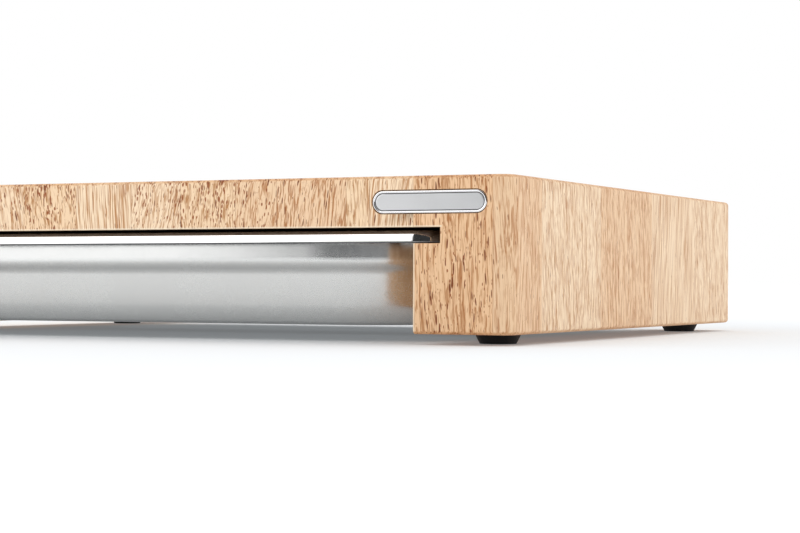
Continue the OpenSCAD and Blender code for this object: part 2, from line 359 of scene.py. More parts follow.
def new_tree(name, taken, sizes, result):
    """An empty Geometry Nodes tree with named inputs, and what its nodes read them from."""
    tree = bpy.data.node_groups.new(name, "GeometryNodeTree")
    tree.interface.new_socket(taken, in_out="INPUT", socket_type="NodeSocketGeometry")
    for label, kind in sizes.items():
        tree.interface.new_socket(label, in_out="INPUT", socket_type="NodeSocket" + kind)
    tree.interface.new_socket(result, in_out="OUTPUT", socket_type="NodeSocketGeometry")
    return tree, put(tree, "NodeGroupInput").outputs


def keep_on_faces(tree, geometry, name, kind, value):
    """Keeps one value for each face, under a name that a material can read."""
    kept = put(
        tree, "GeometryNodeStoreNamedAttribute", {"Geometry": geometry, "Name": name},
        data_type=kind, domain="FACE"
    )
    tree.links.new(value, next(s for s in kept.inputs if s.name == "Value" and s.enabled))
    return kept.outputs[0]


def glue_lines_cut(tree, given):
    """Saws the stave across with thin blades that reach past its sides, top and bottom."""
    blade_middle, blade_height, blade_past = 0.038, 0.080, 0.002
    seams = put(tree, "GeometryNodeMeshLine", {
        "Count": given["Seam Count"],
        "Start Location": xyz_of(tree, given["Stave Middle"], given["First Seam"], blade_middle),
        "Offset": xyz_of(tree, y=given["Stick Length"]),
    }).outputs[0]
    blade_width = math_of(tree, "ADD", given["Stave Width"], blade_past)
    blade = put(tree, "GeometryNodeMeshCube", {
        "Size": xyz_of(tree, blade_width, given["Glue Line"], blade_height)
    }).outputs[0]
    blades = put(tree, "GeometryNodeInstanceOnPoints", {"Points": seams, "Instance": blade}).outputs[0]
    return put(tree, "GeometryNodeMeshBoolean", {
        "Mesh 1": given["Stave"], "Mesh 2": put(tree, "GeometryNodeRealizeInstances", {0: blades}).outputs[0]
    }, operation="DIFFERENCE", solver="EXACT").outputs[0]


def stick_cutter():
    """Node tree: cuts a stave into sticks with thin glue lines, and gives each stick its own grain."""
    tree, given = new_tree("stave_of_glued_sticks", "Stave", {
        "Stick Length": "Float", "First Seam": "Float", "Seam Count": "Int", "Glue Line": "Float",
        "Stave Middle": "Float", "Stave Width": "Float", "Seed": "Int", "Wood": "Material",
        "Rose": "Float", "Pores": "Float", "Rosy Stick": "Int", "Other Rosy Stick": "Int",
        "Contrast": "Float", "Scatter": "Float",
    }, "Sticks")

    # The first stick behind the front seam is number 0, and the one in front of it -1
    y = parts_of(tree, put(tree, "GeometryNodeInputPosition").outputs[0])["Y"]
    past_seam = math_of(tree, "SUBTRACT", y, given["First Seam"])
    number = math_of(tree, "FLOOR", math_of(tree, "DIVIDE", past_seam, given["Stick Length"]))
    middle = sum_of(tree, given["First Seam"], (math_of(tree, "ADD", number, 0.5), given["Stick Length"]))
    centre = vector_of(tree, "MULTIPLY", xyz_of(tree, given["Stave Middle"], middle), IN_MM)

    def chance(kind, low, high, turn):
        """A random value for each stick. turn keeps each kind of value on its own draw."""
        made = put(tree, "FunctionNodeRandomValue", data_type=kind)
        least, most = [s for s in made.inputs if s.enabled][:2]
        least.default_value = low
        most.default_value = high
        feed(tree, made, {"ID": number, "Seed": math_of(tree, "ADD", given["Seed"], turn)})
        return next(s for s in made.outputs if s.enabled)

    # A chosen stick is rosier, and the sticks at the front keep closest to the stave's tone
    one, other = (
        math_of(tree, "COMPARE", number, given[name], 0.5) for name in ("Rosy Stick", "Other Rosy Stick")
    )
    behind = math_of(tree, "GREATER_THAN", number, -0.5)
    scatter = sum_of(tree, 0.05, (behind, given["Scatter"]))
    tone = sum_of(tree, given["Rose"], (chance("FLOAT", -1.0, 1.0, 200), scatter))
    tone = sum_of(tree, tone, (math_of(tree, "ADD", one, other), 0.50))
    heart = chance("FLOAT_VECTOR", (-80, -80, 0), (80, 80, 0), 100)
    marks = {
        "tone": ("FLOAT", tone),
        "pores": ("FLOAT", math_of(tree, "ADD", chance("FLOAT", -0.12, 0.12, 300), given["Pores"])),
        "bold": ("FLOAT", math_of(tree, "MULTIPLY", chance("FLOAT", 0.85, 1.15, 350), given["Contrast"])),
        "lean": ("FLOAT_VECTOR", chance("FLOAT_VECTOR", (-0.16, -0.10, 0), (0.16, 0.10, 0), 370)),
        "shift": ("FLOAT_VECTOR", chance("FLOAT_VECTOR", (-900, -900, -900), (900, 900, 900), 400)),
        "heart": ("FLOAT_VECTOR", vector_of(tree, "ADD", centre, heart)),
    }
    sticks = glue_lines_cut(tree, given)
    for mark, (kind, value) in marks.items():
        sticks = keep_on_faces(tree, sticks, "stick_" + mark, kind, value)
    sticks = put(tree, "GeometryNodeSetMaterial", {"Geometry": sticks, "Material": given["Wood"]}).outputs[0]
    put(tree, "NodeGroupOutput", {0: sticks})
    return tree


def set_tree(piece, tree, values):
    """Puts a node tree on a piece, with its named inputs set."""
    modifier = piece.modifiers.new(tree.name, "NODES")
    modifier.node_group = tree
    for item in tree.interface.items_tree:
        if item.item_type == "SOCKET" and item.in_out == "INPUT" and item.name in values:
            modifier[item.identifier] = values[item.name]


def made_plain(piece):
    """Turns a piece's modifiers into plain mesh."""
    bpy.context.view_layer.update()
    seen = piece.evaluated_get(bpy.context.evaluated_depsgraph_get())
    shape = bpy.data.meshes.new_from_object(seen)
    piece.modifiers.clear()
    piece.data = shape
    return piece


def new_piece(name, bm, material=None):
    """An object at the origin from a worked mesh."""
    shape = bpy.data.meshes.new(name)
    bm.to_mesh(shape)
    bm.free()
    piece = bpy.data.objects.new(name, shape)
    bpy.context.collection.objects.link(piece)
    if material:
        shape.materials.append(material)
    return piece


def smooth_shading(piece, crisp_past):
    """Smooth faces, with crisp edges past an angle."""
    piece.data.shade_smooth()
    piece.data.set_sharp_from_angle(angle=math.radians(crisp_past))


def even_shading(piece, crisp_past):
    """Smooth faces with crisp edges past an angle, and flat faces kept flat."""
    smooth_shading(piece, crisp_past)
    piece.modifiers.new("even shading", "WEIGHTED_NORMAL").keep_sharp = True
    made_plain(piece)


def eased_copy(name, node, seams, round_of):
    """A copy of a wooden CAD node with rounded edges, drawn back by half a glue line at its seams."""
    half_glue, at_seam = 0.06 * MM, 2e-6
    flat, crease = math.radians(0.5), math.radians(20)
    bm = bmesh.new()
    bm.from_mesh(frame["nodes"][node].data)
    bmesh.ops.remove_doubles(bm, verts=bm.verts, dist=1e-6)
    bmesh.ops.dissolve_limit(bm, angle_limit=flat, verts=bm.verts, edges=bm.edges)
    weight = bm.edges.layers.float.new("bevel_weight_edge")
    middle = sum(corner[0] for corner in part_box(node)) / 2
    for edge in bm.edges:
        if len(edge.link_faces) != 2 or edge.calc_face_angle() < crease:
            continue
        if any(all(abs(v.co.x - seam) < at_seam for v in edge.verts) for seam in seams):
            continue
        edge[weight] = round_of(edge)
    for seam in seams:
        for v in bm.verts:
            if abs(v.co.x - seam) < at_seam:
                v.co.x += half_glue if middle > seam else -half_glue
    piece = new_piece(name, bm)
    bevel = piece.modifiers.new("eased edges", "BEVEL")
    bevel.width = 1 * MM
    bevel.segments = 3
    bevel.limit_method = "WEIGHT"
    bevel.use_clamp_overlap = False
    return made_plain(piece)


def edge_rounding(edge):
    """How far each kind of edge is rounded over, in mm: softly outside, least in the grooves."""
    a, b = (v.co for v in edge.verts)
    spot = (a + b) / 2
    off_badge = spot - BADGE_MIDDLE
    near_foot = abs(abs(spot.x) - FOOT_X) < 4 * MM and abs(spot.y) < FOOT_Y + 4 * MM
    if near_foot and spot.z < 20 * MM:
        return 0.0
    if abs(off_badge.x) < 27.5 * MM and abs(off_badge.y) < 3 * MM and abs(off_badge.z) < 5.5 * MM:
        return 0.12 if off_badge.y < 0.5 * MM else 0.0
    if edge.calc_face_angle() < math.radians(60):
        return 0.70
    if spot.z < GROOVE_FLOOR - 1 * MM:
        return 0.90
    if abs(spot.z - SLAB_UNDER) < 0.01 * MM and abs(spot.x) < LEG_FACE:
        return 0.35
    return 0.30


# Each stave: how rosy it is (0 to 1), its share of short pores (0: long straight lines), and
# its contrast
look_of = {
    "top_stave_1": (0.12, 0.80, 0.95), "top_stave_2": (0.30, 0.90, 1.00),
    "top_stave_3": (0.20, 0.15, 0.90), "top_stave_4": (0.06, 0.10, 0.85),
    "top_stave_5": (0.08, 0.80, 0.95), "top_stave_6": (0.20, 0.90, 0.96),
    "top_stave_7": (0.08, 0.06, 0.95), "top_stave_8": (0.06, 0.72, 0.88),
    "top_stave_9": (0.16, 0.95, 1.00), "top_stave_10": (0.66, 0.60, 1.15),
    "top_stave_11": (0.48, 0.12, 1.20), "top_stave_12": (0.06, 0.15, 0.95),
    "top_stave_13": (0.20, 0.25, 1.00), "left_leg_outer": (0.06, 0.10, 0.60),
    "left_leg_inner": (0.30, 0.60, 1.00), "right_leg_inner": (0.72, 0.42, 0.92),
    "right_leg_outer": (0.16, 0.05, 0.48),
}
# The right side shows its sticks: where its first seam is, its two rosy sticks, and no scatter
side_stave, side_first_seam, side_rosy = "right_leg_outer", -0.1285, (-1, 1)
no_stick = (-9, -9)
# The slab's seams between the legs, as shares of the way from the left leg to the right
top_seams = [0, 0.052, 0.107, 0.194, 0.300, 0.352, 0.448, 0.545, 0.629, 0.721, 0.787, 0.897, 0.9335, 1]
seam_x = [(share - 0.5) * 2 * LEG_FACE for share in top_seams]
staves = [(f"top_stave_{i + 1}", seam_x[i], seam_x[i + 1]) for i in range(len(top_seams) - 1)]
staves += [
    ("left_leg_outer", -HALF_W, -EDGE_SEAM), ("left_leg_inner", -EDGE_SEAM, -LEG_FACE),
    ("right_leg_inner", LEG_FACE, EDGE_SEAM), ("right_leg_outer", EDGE_SEAM, HALF_W),
]
slot_of = {part["node"]: part["material_slot"] for part in frame["record"]["subparts"]}
cutter = stick_cutter()
rng = random.Random(7)
for index, (node, left, right) in enumerate(staves):
    at_side = node == side_stave
    rose, pores, contrast = look_of[node]
    rosy, other_rosy = side_rosy if at_side else no_stick
    seams = [x for x in (left, right) if abs(x) < HALF_W]
    stave = eased_copy("stave_" + node.replace("_stave", ""), node, seams, edge_rounding)
    set_tree(stave, cutter, {
        "Stick Length": 0.0745, "Seam Count": 5, "Glue Line": 0.08 * MM,
        "First Seam": side_first_seam if at_side else rng.uniform(-0.150, -0.095),
        "Stave Middle": (left + right) / 2, "Stave Width": right - left, "Seed": 11 + index * 7,
        "Wood": wood[slot_of[node]], "Rose": rose, "Pores": pores, "Contrast": contrast,
        "Rosy Stick": rosy, "Other Rosy Stick": other_rosy, "Scatter": 0.0 if at_side else 0.30,
    })
    made_plain(stave)
    even_shading(stave, 40)
    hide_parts(node)
    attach(stave, "board")


# The stop -------------------------------------------------------------
# One long batten of the same wood, glued across under the middle of the slab with its ends
# in the grooves. Both trays close against it. Its grain runs along it.

ALONG_X = (0.0, math.pi / 2, 0.0)
batten = eased_copy("stop_batten_strip", "stop_batten", [], lambda edge: 0.25)
batten.data.materials.append(oiled_hardwood(
    "oiled_batten_wood", (0.94, 0.69, 0.50, 1), (0.57, 0.28, 0.135, 1), ALONG_X
))
even_shading(batten, 40)
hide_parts("stop_batten")
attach(batten, "board")


# The trays ------------------------------------------------------------
# Each is deep-drawn from one sheet of stainless steel 0.8 mm thick: a satin bowl with a
# stacking shoulder, and a polished rim turned down and hemmed at its edge. The rim's two
# ends run loose in the grooves.

# Heights and insets are in mm
SHEET, TRAY_FLOOR, RIM_TOP = 0.8, 7.2, 48.5
SHOULDER_TOP, SHOULDER_UNDER, SHOULDER_IN = 36.2, 29.8, 2.5
FLOOR_BEND, FLOOR_BEND_IN = 11.0, 15.66
RIM_BEND, MOUTH_BEND, HEM_T = 2.0, 2.0, 1.2
TRAY_MIDDLE_Y = 82.0
CORNER_STEPS, LONG_STEPS, SHORT_STEPS = 16, 24, 10


def steps_of(start, end, steps):
    """Even steps from start to end, with both."""
    return [start + (end - start) * i / steps for i in range(steps + 1)]


def rounded_ring(width, depth, radius, height, middle_y):
    """Points round a rounded rectangle given in mm, from the front of its right end."""
    def on_corner(side_x, side_y, degrees):
        a = math.radians(degrees)
        x = side_x * (width / 2 - radius) + radius * math.cos(a)
        y = side_y * (depth / 2 - radius) + radius * math.sin(a)
        return Vector((x, y, height))

    corners = [(1, -1, -90), (1, 1, 0), (-1, 1, 90), (-1, -1, 180)]
    points = []
    for n, (side_x, side_y, start) in enumerate(corners):
        points += [on_corner(side_x, side_y, a) for a in steps_of(start, start + 90, CORNER_STEPS)]
        near, far = points[-1].copy(), on_corner(*corners[(n + 1) % 4])
        steps = SHORT_STEPS if n % 2 == 0 else LONG_STEPS
        points += [near.lerp(far, i / steps) for i in range(1, steps)]
    return [Vector((p.x, p.y + middle_y, p.z)) * MM for p in points]


def skin_over(rings, marks=None, ring_shaped=False):
    """A closed skin over a run of like rings. marks gives each ring's value of each attribute."""
    bm = bmesh.new()
    marks = marks or {}
    for name in marks:
        bm.verts.layers.float.new(name)
    loops = []
    for n, ring in enumerate(rings):
        loops.append([bm.verts.new(p) for p in ring])
        for name, values in marks.items():
            layer = bm.verts.layers.float[name]
            for v in loops[-1]:
                v[layer] = values[n]
    pairs = list(zip(loops, loops[1:]))
    if ring_shaped:
        pairs.append((loops[-1], loops[0]))
    for low, high in pairs:
        for i in range(len(low)):
            j = (i + 1) % len(low)
            bm.faces.new((low[i], low[j], high[j], high[i]))
    if not ring_shaped:
        bm.faces.new(loops[0][::-1])
        bm.faces.new(loops[-1])
    if bm.calc_volume(signed=True) < 0:
        bmesh.ops.reverse_faces(bm, faces=bm.faces)
    return bm


def floor_bend(skin):
    """The soft bend from the tray's floor up to its leaning wall. skin is how deep in the sheet."""
    lean = math.radians(9.8)
    r = FLOOR_BEND - skin
    return [
        ("wall", FLOOR_BEND_IN - r * math.cos(a), TRAY_FLOOR + FLOOR_BEND - r * math.sin(a), 0.0)
        for a in steps_of(math.pi / 2, lean, 10)
    ]


def shoulder_s(down):
    """How far in the shoulder has come, 0 to 1, after its share of the way down: an S, cut short."""
    cut = 0.92
    return (cut * down) ** 2 * (3 - 2 * cut * down) / (cut ** 2 * (3 - 2 * cut))


def wall_rows(skin):
    """The leaning wall, the shoulder, and the brighter upright wall over it."""
    _, low_in, low_z, _ = floor_bend(skin)[-1]
    shoulder_h = SHOULDER_TOP - SHOULDER_UNDER
    leaning = [
        ("wall", low_in + (skin + SHOULDER_IN - low_in) * up, low_z + (SHOULDER_UNDER - low_z) * up, 0.0)
        for up in (0.35, 0.7, 0.93, 0.985)
    ]
    shoulder = [
        ("wall", skin + SHOULDER_IN * shoulder_s(down), SHOULDER_TOP - shoulder_h * down, 0.0)
        for down in [0.98] + steps_of(0.9, 0.0, 9)
    ]
    upright = [("wall", skin, z, 0.4) for z in (37.5, 41.0, 44.0)]
    return leaning + shoulder + upright


def mouth_bend(skin):
    """The bend from the upright wall out to the flat of the rim."""
    r = MOUTH_BEND + skin
    return [
        ("wall", -MOUTH_BEND + r * math.cos(a), RIM_TOP - SHEET - MOUTH_BEND + r * math.sin(a), 0.0)
        for a in steps_of(0, math.pi / 2, 6)
    ]


def rim_rows():
    """The rim's bend inside, its hem rolled under, and its outer face, which leans in to the top."""
    inner_bend = [
        (RIM_BEND - (RIM_BEND - HEM_T) * math.sin(a), RIM_TOP - RIM_BEND + (RIM_BEND - SHEET) * math.cos(a))
        for a in steps_of(0, math.pi / 2, 4)
    ]
    hem = [
        (HEM_T, 43.70), (1.14, 43.36), (0.96, 43.18), (0.70, 43.10),
        (0.42, 43.13), (0.17, 43.28), (0.03, 43.52), (0.0, 43.80),
    ]
    outer_face = [
        (0.05, 44.06), (0.12, 44.40), (0.20, 44.80), (0.30, 45.30), (0.41, 45.80),
        (0.53, 46.30), (0.68, 46.80), (0.86, 47.30), (1.08, 47.75), (1.30, 48.07),
        (1.52, 48.28), (1.76, 48.42), (2.0, RIM_TOP), (4.0, RIM_TOP),
    ]
    return [("rim", inset, z, 1.0) for inset, z in inner_bend + hem + outer_face]


def tray_section():
    """Rows of (outline, inset, height, polish) round the sheet, from its underside to its top."""
    under_floor = [("wall", FLOOR_BEND_IN + 1.4, TRAY_FLOOR, 0.0)]
    outside, inside = (floor_bend(skin) + wall_rows(skin) + mouth_bend(skin) for skin in (0.0, SHEET))
    return under_floor + outside + rim_rows() + inside[::-1]


# Painted shade: the hem's fold is painted dark below each height
PAINTED_FOLD_SHADES = ((43.4, 0.95), (43.6, 0.80), (43.9, 0.25))
# Where painted shade darkens the floor's bend, the leaning wall, the shoulder and the upright wall, in mm
BASE_EDGE_IN, BASE_EDGE, BASE_TOP = 15.7, 8.0, 8.5
LOW_WALL, UPPER_WALL = 14.0, 37.0
SHOULDER_MIDDLE, SHOULDER_REACH = 32.6, 3.2
PAINTED_BLACK = (0.02, 0.02, 0.022, 1)


def painted_shade_at(outline, inset, z):
    """How dark the steel is painted, all as painted shade: black in the hem's fold, darker at the floor's
    bend, towards the bottom of the leaning wall, round the shoulder and on the upright wall.
    """
    if outline == "rim":
        return next((painted_dark for top, painted_dark in PAINTED_FOLD_SHADES if z < top), 0.0)
    if z < BASE_TOP and inset < BASE_EDGE_IN:
        return 0.42 if z < BASE_EDGE else 0.30
    if z < LOW_WALL:
        return 0.16 * (LOW_WALL - z) / 6.0
    if z > UPPER_WALL:
        return 0.20
    return 0.25 * max(0.0, 1.0 - abs(z - SHOULDER_MIDDLE) / SHOULDER_REACH)


def satin_steel(name, steel, bright, satin, fine):
    """Stainless or plated metal: satin where polish is 0, bright where it is 1, and painted black where
    marked dark, which is painted shade, and on the badge also a line inside its border.
    """
    finish, tree, shader = new_finish(name)
    place = mm_on_piece(tree)
    polish, painted_dark = mark_on(tree, "polish"), mark_on(tree, "painted_dark")
    blast = noise_of(tree, place, fine, 3.0, 0.6)
    cloud = noise_of(tree, place, 0.06, 3.0, 0.55)
    dull = math_of(
        tree, "ADD", ramp_of(tree, blast, 0.3, 0.7, satin - 0.03, satin + 0.03),
        ramp_of(tree, cloud, 0.3, 0.7, -0.02, 0.03)
    )
    # Steel painted dark turns black, dull and without shine
    black = ramp_of(tree, painted_dark, 0.30, 0.70)
    bare = math_of(tree, "SUBTRACT", 1.0, black)
    darker = tuple(c * 0.94 for c in steel[:3]) + (1,)
    shade = tint_of(tree, ramp_of(tree, sum_of(tree, blast, (cloud, 0.4)), 0.4, 1.0), darker, steel)
    clean = tint_of(tree, polish, shade, bright)
    unpolished = math_of(tree, "SUBTRACT", 1.0, math_of(tree, "MULTIPLY", polish, 0.95))
    feed(tree, shader, {
        "Base Color": tint_of(tree, painted_dark, clean, PAINTED_BLACK),
        "Roughness": between(tree, black, between(tree, polish, dull, 0.07), 0.9),
        "Metallic": bare,
        "Specular IOR Level": math_of(tree, "MULTIPLY", bare, 0.5),
        "Normal": uneven(tree, math_of(tree, "MULTIPLY", blast, unpolished), 0.25, 0.04),
    })
    return finish


tray_steel = satin_steel("pressed_tray_steel", (0.75, 0.75, 0.735, 1), (0.95, 0.95, 0.94, 1), 0.25, 3.0)
# Each outline's width, depth and corner radius at inset 0
outlines = {"wall": (307.0, 130.0, 50.0), "rim": (332.0, 155.0, 14.0)}
section = tray_section()
outer_rows = max(n for n, row in enumerate(section) if row[0] == "rim") + 1
# The painted shade goes on the outside of the sheet only
painted_shades = [painted_shade_at(*row[:3]) if n < outer_rows else 0.0 for n, row in enumerate(section)]
for body, middle_y in (("front_tray", -TRAY_MIDDLE_Y), ("rear_tray", TRAY_MIDDLE_Y)):
    rings = []
    for outline, inset, z, _ in section:
        w, d, r = outlines[outline]
        rings.append(rounded_ring(w - 2 * inset, d - 2 * inset, r - inset, z, middle_y))
    skin = skin_over(rings, {"polish": [row[3] for row in section], "painted_dark": painted_shades})
    tray = new_piece("pressed_" + body, skin, tray_steel)
    tray.data.shade_smooth()
    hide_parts(body)
    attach(tray, body)


# The badge ------------------------------------------------------------
# A pill-shaped plate of plated metal glued into a milled pocket, with a bright raised border
# round a plain blasted field. It carries nothing.

# In mm
BADGE_W, BADGE_H = 53, 9.7
END_STEPS, SIDE_STEPS = 32, 20


def pill_ring(inset, depth):
    """Points round the badge's outline, in metres. depth goes into the board from its face."""
    radius = BADGE_H / 2 - inset
    reach = (BADGE_W - BADGE_H) / 2
    points = []
    for side, start in ((1, -90), (-1, 90)):
        for a in (math.radians(degrees) for degrees in steps_of(start, start + 180, END_STEPS)):
            points.append((side * reach + radius * math.cos(a), radius * math.sin(a)))
        points += [(side * x, side * radius) for x in steps_of(reach, -reach, SIDE_STEPS)[1:-1]]
    return [BADGE_MIDDLE + Vector((x, depth, z)) * MM for x, z in points]


# From the back over the border to the field: inset, depth, polish, and how dark it is painted.
# The plate's edge down in its pocket is painted black as painted shade; a line inside the border is black too
badge_rows = [
    (0.25, 2.0, 1.0, 1.0), (0.0, 1.8, 1.0, 1.0), (0.0, 0.62, 1.0, 1.0), (0.03, 0.50, 1.0, 0.8),
    (0.10, 0.38, 1.0, 0.2), (0.22, 0.28, 1.0, 0.0), (0.38, 0.22, 1.0, 0.0), (0.56, 0.2, 1.0, 0.0),
    (0.74, 0.22, 1.0, 0.0), (0.90, 0.28, 1.0, 0.0), (1.02, 0.38, 1.0, 0.2), (1.09, 0.52, 1.0, 0.9),
    (1.14, 0.62, 0.6, 1.0), (1.30, 0.64, 0.4, 1.0), (1.40, 0.60, 0.2, 0.7), (1.48, 0.56, 0.0, 0.1),
    (1.9, 0.55, 0.0, 0.0), (3.0, 0.57, 0.0, 0.0),
]
rings = [pill_ring(inset, depth) for inset, depth, _, _ in badge_rows]
skin = skin_over(rings, {"polish": [row[2] for row in badge_rows], "painted_dark": [row[3] for row in badge_rows]})
plated = satin_steel("plated_badge_metal", (0.78, 0.78, 0.785, 1), (0.97, 0.97, 0.98, 1), 0.38, 5.0)
badge = new_piece("blank_badge", skin, plated)
even_shading(badge, 45)
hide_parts("badge")
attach(badge, "board")


# The feet -------------------------------------------------------------
# Four moulded black rubber feet, each a low tapered disc with a rounded lower edge and a
# pocket for the washer and screw that hold it to the leg.


def black_rubber():
    """Near-black rubber, a little dusty, with a fine moulded skin."""
    finish, tree, shader = new_finish("moulded_black_rubber")
    clean, dusty = (0.006, 0.006, 0.007, 1), (0.012, 0.012, 0.013, 1)
    place = mm_on_piece(tree)
    grained = noise_of(tree, place, 2.6, 3.0)
    dust = noise_of(tree, place, 0.35)
    feed(tree, shader, {
        "Base Color": tint_of(tree, ramp_of(tree, dust, 0.35, 0.75), clean, dusty),
        "Roughness": ramp_of(tree, grained, 0.3, 0.7, 0.42, 0.58),
        "Normal": uneven(tree, grained, 0.4, 0.06),
        "Specular IOR Level": 0.3,
    })
    return finish


def turned_rings(profile, middle_x, middle_y, steps=72):
    """Rings of a turned shape: profile is (radius, height) in mm, its middle is in metres."""
    def point(r, z, a):
        return Vector((middle_x + r * MM * math.cos(a), middle_y + r * MM * math.sin(a), z * MM))

    turn = [2 * math.pi * i / steps for i in range(steps)]
    return [[point(r, z, a) for a in turn] for r, z in profile]


# Out over the top, down the taper, in over the ring groove underneath, and up the pocket
foot_profile = [
    (1.8, 4.45), (4.0, 4.48), (9.6, 4.48), (9.88, 4.42), (9.97, 4.25), (9.9, 3.95), (9.35, 2.8), (8.8, 1.7),
    (8.1, 0.36), (7.98, 0.14), (7.8, 0.03), (7.5, 0.0), (6.9, 0.0), (6.75, 0.1), (6.6, 0.13), (6.45, 0.1),
    (6.3, 0.0), (5.6, 0.0), (5.35, 0.08), (5.2, 0.3), (5.2, 2.8), (1.8, 2.8),
]
rubber = black_rubber()
for front_rear, side_y in (("front", -1), ("rear", 1)):
    for left_right, side_x in (("left", -1), ("right", 1)):
        node = f"foot_{front_rear}_{left_right}"
        rings = turned_rings(foot_profile, side_x * FOOT_X, side_y * FOOT_Y)
        foot = new_piece("rubber_" + node, skin_over(rings, ring_shaped=True), rubber)
        smooth_shading(foot, 50)
        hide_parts(node)
        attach(foot, "board")


# The washers and screws -----------------------------------------------
# In each foot's pocket sits a zinc-plated washer, and a pan-head wood screw with a cross
# recess goes up through it into the leg.

# The screw's blunt point, in metres
POINT_R = 0.2 * MM


def zinc_plating():
    """Dull zinc with a faint spangle and fine scratches."""
    finish, tree, shader = new_finish("zinc_plated_steel")
    bright, grey = (0.60, 0.60, 0.57, 1), (0.52, 0.53, 0.53, 1)
    place = mm_on_piece(tree)
    spangle = put(tree, "ShaderNodeTexVoronoi", {"Vector": place, "Scale": 0.9}).outputs["Distance"]
    scratch = noise_of(tree, place, 3.5, 4.0)
    feed(tree, shader, {
        "Base Color": tint_of(tree, spangle, bright, grey),
        "Roughness": ramp_of(tree, scratch, 0.3, 0.7, 0.28, 0.45),
        "Normal": uneven(tree, scratch, 0.3, 0.03),
        "Metallic": 1.0,
    })
    return finish


def fixing_tree(name, sizes):
    """A node tree for a fixing of these sizes, its inputs, and the four foot places as points."""
    shared = {"Spacing X": "Float", "Spacing Y": "Float", "Metal": "Material"}
    sizes = {label: "Float" for label in sizes}
    tree, given = new_tree(name, "Geometry", {**shared, **sizes}, "Fixings")
    places = put(tree, "GeometryNodeMeshGrid", {
        "Size X": given["Spacing X"], "Size Y": given["Spacing Y"], "Vertices X": 2, "Vertices Y": 2
    }).outputs[0]
    return tree, given, places


def raised(tree, shape, height):
    """A shape moved straight up."""
    return put(tree, "GeometryNodeTransform", {
        "Geometry": shape, "Translation": xyz_of(tree, z=height)
    }).outputs[0]


def end_tree(tree, places, fixing, given):
    """Sets the fixing on all four places, as plain mesh in its metal."""
    placed = put(tree, "GeometryNodeInstanceOnPoints", {"Points": places, "Instance": fixing}).outputs[0]
    whole = put(tree, "GeometryNodeRealizeInstances", {0: placed}).outputs[0]
    whole = put(tree, "GeometryNodeSetMaterial", {"Geometry": whole, "Material": given["Metal"]}).outputs[0]
    put(tree, "NodeGroupOutput", {0: whole})


def washer_maker(sizes):
    """Node tree: four flat washers with softened edges."""
    tree, given, places = fixing_tree("washers_in_feet", sizes)
    outer, hole, thick = (given[name] for name in ("Outer Diameter", "Hole Diameter", "Thickness"))
    path_r = math_of(tree, "DIVIDE", math_of(tree, "ADD", outer, hole), 4.0)
    band = math_of(tree, "DIVIDE", math_of(tree, "SUBTRACT", outer, hole), 2.0)
    path = put(
        tree, "GeometryNodeCurvePrimitiveCircle", {"Resolution": 64, "Radius": path_r}, mode="RADIUS"
    ).outputs[0]
    profile = put(
        tree, "GeometryNodeCurvePrimitiveQuadrilateral", {"Width": band, "Height": thick}
    ).outputs[0]
    profile = put(
        tree, "GeometryNodeFilletCurve", {"Curve": profile, "Radius": 0.12 * MM, "Count": 3}, mode="POLY"
    ).outputs[0]
    ring = put(tree, "GeometryNodeCurveToMesh", {"Curve": path, "Profile Curve": profile}).outputs[0]
    ring = raised(tree, ring, sum_of(tree, given["Underside"], (thick, 0.5)))
    end_tree(tree, places, ring, given)
    return tree


def domed_head(tree, given):
    """The screw's head, from its dome at 0 up to its flat side, before its recess is cut."""
    dome = [
        (0.0, 0.0), (0.04, 0.46), (0.12, 0.66), (0.28, 0.82),
        (0.5, 0.93), (0.75, 0.99), (0.92, 1.0), (1.0, 0.97),
    ]
    axis = put(tree, "GeometryNodeCurvePrimitiveLine", {
        "End": xyz_of(tree, z=given["Head Height"])
    }).outputs[0]
    axis = put(tree, "GeometryNodeResampleCurve", {"Curve": axis, "Count": 25}).outputs[0]
    shape = put(tree, "ShaderNodeFloatCurve", {
        "Value": put(tree, "GeometryNodeSplineParameter").outputs["Factor"]
    })
    points = shape.mapping.curves[0].points
    points[0].location, points[1].location = dome[0], dome[-1]
    for spot in dome[1:-1]:
        points.new(*spot)
    shape.mapping.update()
    radius = math_of(tree, "MULTIPLY", given["Head Diameter"], 0.5)
    radius = math_of(tree, "MAXIMUM", math_of(tree, "MULTIPLY", shape.outputs[0], radius), POINT_R)
    unit = put(
        tree, "GeometryNodeCurvePrimitiveCircle", {"Resolution": 48, "Radius": 1.0}, mode="RADIUS"
    ).outputs[0]
    return put(tree, "GeometryNodeCurveToMesh", {
        "Curve": axis, "Profile Curve": unit, "Scale": radius, "Fill Caps": True
    }).outputs[0]


def cross_bars(tree, given):
    """Two crossed bars, which cut the recess in the head's dome."""
    long_side = math_of(tree, "MULTIPLY", given["Head Diameter"], 0.58)
    depth = math_of(tree, "MULTIPLY", given["Head Height"], 1.2)
    cross = put(tree, "GeometryNodeMeshBoolean", operation="UNION", solver="EXACT")
    for sides in ((long_side, given["Recess Width"]), (given["Recess Width"], long_side)):
        bar = put(tree, "GeometryNodeMeshCube", {"Size": xyz_of(tree, *sides, depth)}).outputs[0]
        tree.links.new(bar, cross.inputs["Mesh 2"])
    return cross.outputs[0]


